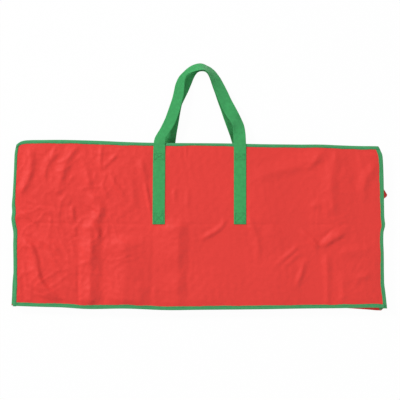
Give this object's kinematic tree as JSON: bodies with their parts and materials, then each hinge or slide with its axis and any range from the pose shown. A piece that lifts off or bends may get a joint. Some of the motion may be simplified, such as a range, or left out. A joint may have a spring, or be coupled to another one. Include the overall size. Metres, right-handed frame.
{
  "type": "christmas tree storage bag",
  "caption": "Long zipped box bag for storing an artificial Christmas tree, folded flat, with bound seams and webbing carrying handles laid out above its top edge.",
  "frame": {"origin": "middle of the whole part's outline, handles included, on the surface that the folded bag lies on", "axes": "+X along the bag's length to the right as the front panel is seen, +Y from the bottom edge to the top edge and the handles, +Z out of the front panel"},
  "size_m": [1.145, 0.7574, 0.0426],
  "materials": {
    "back_binding_bottom": "woven binding tape, matt",
    "back_binding_left": "woven binding tape, matt",
    "back_binding_right": "woven binding tape, matt",
    "back_binding_top": "woven binding tape, matt",
    "back_handle_end_left": "woven polyester webbing, matt",
    "back_handle_end_right": "woven polyester webbing, matt",
    "back_handle_loop": "woven polyester webbing, matt",
    "back_panel": "coated polyester cloth with a soft sheen",
    "back_stitching_foot_left": "polyester sewing thread",
    "back_stitching_foot_right": "polyester sewing thread",
    "back_stitching_top_left": "polyester sewing thread",
    "back_stitching_top_right": "polyester sewing thread",
    "bottom_back_half": "coated polyester cloth with a soft sheen",
    "bottom_fold": "coated polyester cloth with a soft sheen",
    "bottom_front_half": "coated polyester cloth with a soft sheen",
    "corner_binding_bottom_back_left": "woven binding tape, matt",
    "corner_binding_bottom_back_right": "woven binding tape, matt",
    "corner_binding_bottom_front_left": "woven binding tape, matt",
    "corner_binding_bottom_front_right": "woven binding tape, matt",
    "corner_binding_top_back_left": "woven binding tape, matt",
    "corner_binding_top_back_right": "woven binding tape, matt",
    "corner_binding_top_front_left": "woven binding tape, matt",
    "corner_binding_top_front_right": "woven binding tape, matt",
    "front_binding_bottom": "woven binding tape, matt",
    "front_binding_left": "woven binding tape, matt",
    "front_binding_right": "woven binding tape, matt",
    "front_binding_top": "woven binding tape, matt",
    "front_handle_end_left": "woven polyester webbing, matt",
    "front_handle_end_right": "woven polyester webbing, matt",
    "front_handle_loop": "woven polyester webbing, matt",
    "front_panel": "coated polyester cloth with a soft sheen",
    "front_stitching_foot_left": "polyester sewing thread",
    "front_stitching_foot_right": "polyester sewing thread",
    "front_stitching_top_left": "polyester sewing thread",
    "front_stitching_top_right": "polyester sewing thread",
    "left_end_back_half": "coated polyester cloth with a soft sheen",
    "left_end_fold": "coated polyester cloth with a soft sheen",
    "left_end_front_half": "coated polyester cloth with a soft sheen",
    "right_end_back_half": "coated polyester cloth with a soft sheen",
    "right_end_fold": "coated polyester cloth with a soft sheen",
    "right_end_front_half": "coated polyester cloth with a soft sheen",
    "top_back_half": "coated polyester cloth with a soft sheen",
    "top_front_half": "coated polyester cloth with a soft sheen",
    "zip_coil_back": "moulded nylon coil, satin",
    "zip_coil_front": "moulded nylon coil, satin",
    "zip_pull": "nickel plated, satin",
    "zip_slider": "nickel plated, satin",
    "zip_stop_left": "nickel plated, satin",
    "zip_stop_right": "nickel plated, satin",
    "zip_tape_back": "woven binding tape, matt",
    "zip_tape_front": "woven binding tape, matt"
  },
  "bodies": {
    "back": {"back_binding_bottom": "back_binding_bottom", "back_binding_left": "back_binding_left", "back_binding_right": "back_binding_right", "back_binding_top": "back_binding_top", "back_handle_end_left": "back_handle_end_left", "back_handle_end_right": "back_handle_end_right", "back_panel": "back_panel", "back_stitching_foot_left": "back_stitching_foot_left", "back_stitching_foot_right": "back_stitching_foot_right", "back_stitching_top_left": "back_stitching_top_left", "back_stitching_top_right": "back_stitching_top_right"},
    "left_end_lower": {"left_end_back_half": "left_end_back_half"},
    "left_end_fold": {"left_end_fold": "left_end_fold"},
    "left_end_upper": {"left_end_front_half": "left_end_front_half"},
    "front": {"front_binding_bottom": "front_binding_bottom", "front_binding_left": "front_binding_left", "front_binding_right": "front_binding_right", "front_binding_top": "front_binding_top", "front_handle_end_left": "front_handle_end_left", "front_handle_end_right": "front_handle_end_right", "front_panel": "front_panel", "front_stitching_foot_left": "front_stitching_foot_left", "front_stitching_foot_right": "front_stitching_foot_right", "front_stitching_top_left": "front_stitching_top_left", "front_stitching_top_right": "front_stitching_top_right"},
    "right_end_lower": {"right_end_back_half": "right_end_back_half"},
    "right_end_fold": {"right_end_fold": "right_end_fold"},
    "right_end_upper": {"right_end_front_half": "right_end_front_half"},
    "bottom_lower": {"bottom_back_half": "bottom_back_half", "corner_binding_bottom_back_left": "corner_binding_bottom_back_left", "corner_binding_bottom_back_right": "corner_binding_bottom_back_right"},
    "bottom_fold": {"bottom_fold": "bottom_fold"},
    "bottom_upper": {"bottom_front_half": "bottom_front_half", "corner_binding_bottom_front_left": "corner_binding_bottom_front_left", "corner_binding_bottom_front_right": "corner_binding_bottom_front_right"},
    "top_lower": {"top_back_half": "top_back_half", "corner_binding_top_back_left": "corner_binding_top_back_left", "corner_binding_top_back_right": "corner_binding_top_back_right"},
    "zip_strip": {"zip_tape_back": "zip_tape_back", "zip_tape_front": "zip_tape_front", "zip_coil_back": "zip_coil_back", "zip_coil_front": "zip_coil_front", "zip_stop_left": "zip_stop_left", "zip_stop_right": "zip_stop_right"},
    "top_upper": {"top_front_half": "top_front_half", "corner_binding_top_front_left": "corner_binding_top_front_left", "corner_binding_top_front_right": "corner_binding_top_front_right"},
    "zip_slider": {"zip_slider": "zip_slider"},
    "zip_pull": {"zip_pull": "zip_pull"},
    "front_handle": {"front_handle_loop": "front_handle_loop"},
    "rear_handle": {"back_handle_loop": "back_handle_loop"}
  },
  "joints": [
    {"name": "unfold", "type": "hinge", "parent": "back", "child": "left_end_lower", "pos_m": [-0.5705, -0.12373, 0.0057], "axis": [0, -1, 0], "range_deg": [0, 85]},
    {"name": "left_end_fold_turn", "type": "hinge", "parent": "left_end_lower", "child": "left_end_fold", "pos_m": [-0.39212, -0.12373, 0.0057], "axis": [0, -1, 0], "range_deg": [-85, 0]},
    {"name": "left_end_upper_turn", "type": "hinge", "parent": "left_end_fold", "child": "left_end_upper", "pos_m": [-0.39212, -0.12373, 0.0257], "axis": [0, -1, 0], "range_deg": [-85, 0]},
    {"name": "front_panel_lift", "type": "hinge", "parent": "left_end_upper", "child": "front", "pos_m": [-0.5705, -0.12373, 0.0257], "axis": [0, -1, 0], "range_deg": [0, 85]},
    {"name": "right_end_lower_turn", "type": "hinge", "parent": "back", "child": "right_end_lower", "pos_m": [0.5705, -0.12373, 0.0057], "axis": [0, 1, 0], "range_deg": [0, 85]},
    {"name": "right_end_fold_turn", "type": "hinge", "parent": "right_end_lower", "child": "right_end_fold", "pos_m": [0.39212, -0.12373, 0.0057], "axis": [0, 1, 0], "range_deg": [-85, 0]},
    {"name": "right_end_upper_turn", "type": "hinge", "parent": "right_end_fold", "child": "right_end_upper", "pos_m": [0.39212, -0.12373, 0.0257], "axis": [0, 1, 0], "range_deg": [-85, 0]},
    {"name": "bottom_lower_turn", "type": "hinge", "parent": "back", "child": "bottom_lower", "pos_m": [0, -0.37673, 0.0082], "axis": [1, 0, 0], "range_deg": [0, 85]},
    {"name": "bottom_fold_turn", "type": "hinge", "parent": "bottom_lower", "child": "bottom_fold", "pos_m": [0, -0.19835, 0.0082], "axis": [1, 0, 0], "range_deg": [-85, 0]},
    {"name": "bottom_upper_turn", "type": "hinge", "parent": "bottom_fold", "child": "bottom_upper", "pos_m": [0, -0.19835, 0.0232], "axis": [1, 0, 0], "range_deg": [-85, 0]},
    {"name": "top_lower_turn", "type": "hinge", "parent": "back", "child": "top_lower", "pos_m": [0, 0.12927, 0.0082], "axis": [-1, 0, 0], "range_deg": [0, 85]},
    {"name": "zip_strip_turn", "type": "hinge", "parent": "top_lower", "child": "zip_strip", "pos_m": [0, -0.04911, 0.0082], "axis": [-1, 0, 0], "range_deg": [-85, 0]},
    {"name": "top_upper_turn", "type": "hinge", "parent": "zip_strip", "child": "top_upper", "pos_m": [0, -0.04911, 0.0232], "axis": [-1, 0, 0], "range_deg": [-85, 0]},
    {"name": "zip_slide", "type": "slide", "parent": "zip_strip", "child": "zip_slider", "axis": [1, 0, 0], "range_m": [0, 1.1044]},
    {"name": "zip_pull_swing", "type": "hinge", "parent": "zip_slider", "child": "zip_pull", "pos_m": [-0.5522, -0.04521, 0.0157], "axis": [0, 0, 1], "range_deg": [0, 180]},
    {"name": "front_handle_swing", "type": "hinge", "parent": "front", "child": "front_handle", "pos_m": [0.0013, 0.09327, 0.0325], "axis": [1, 0, 0], "range_deg": [0, 170]},
    {"name": "rear_handle_swing", "type": "hinge", "parent": "back", "child": "rear_handle", "pos_m": [0.0013, 0.13677, 0.0008], "axis": [1, 0, 0], "range_deg": [-150, 0]}
  ],
  "couplings": [
    {"joint": "left_end_fold_turn", "follows": "unfold", "ratio": -1},
    {"joint": "left_end_upper_turn", "follows": "unfold", "ratio": -1},
    {"joint": "front_panel_lift", "follows": "unfold", "ratio": 1},
    {"joint": "right_end_lower_turn", "follows": "unfold", "ratio": 1},
    {"joint": "right_end_fold_turn", "follows": "unfold", "ratio": -1},
    {"joint": "right_end_upper_turn", "follows": "unfold", "ratio": -1},
    {"joint": "bottom_lower_turn", "follows": "unfold", "ratio": 1},
    {"joint": "bottom_fold_turn", "follows": "unfold", "ratio": -1},
    {"joint": "bottom_upper_turn", "follows": "unfold", "ratio": -1},
    {"joint": "top_lower_turn", "follows": "unfold", "ratio": 1},
    {"joint": "zip_strip_turn", "follows": "unfold", "ratio": -1},
    {"joint": "top_upper_turn", "follows": "unfold", "ratio": -1}
  ]
}
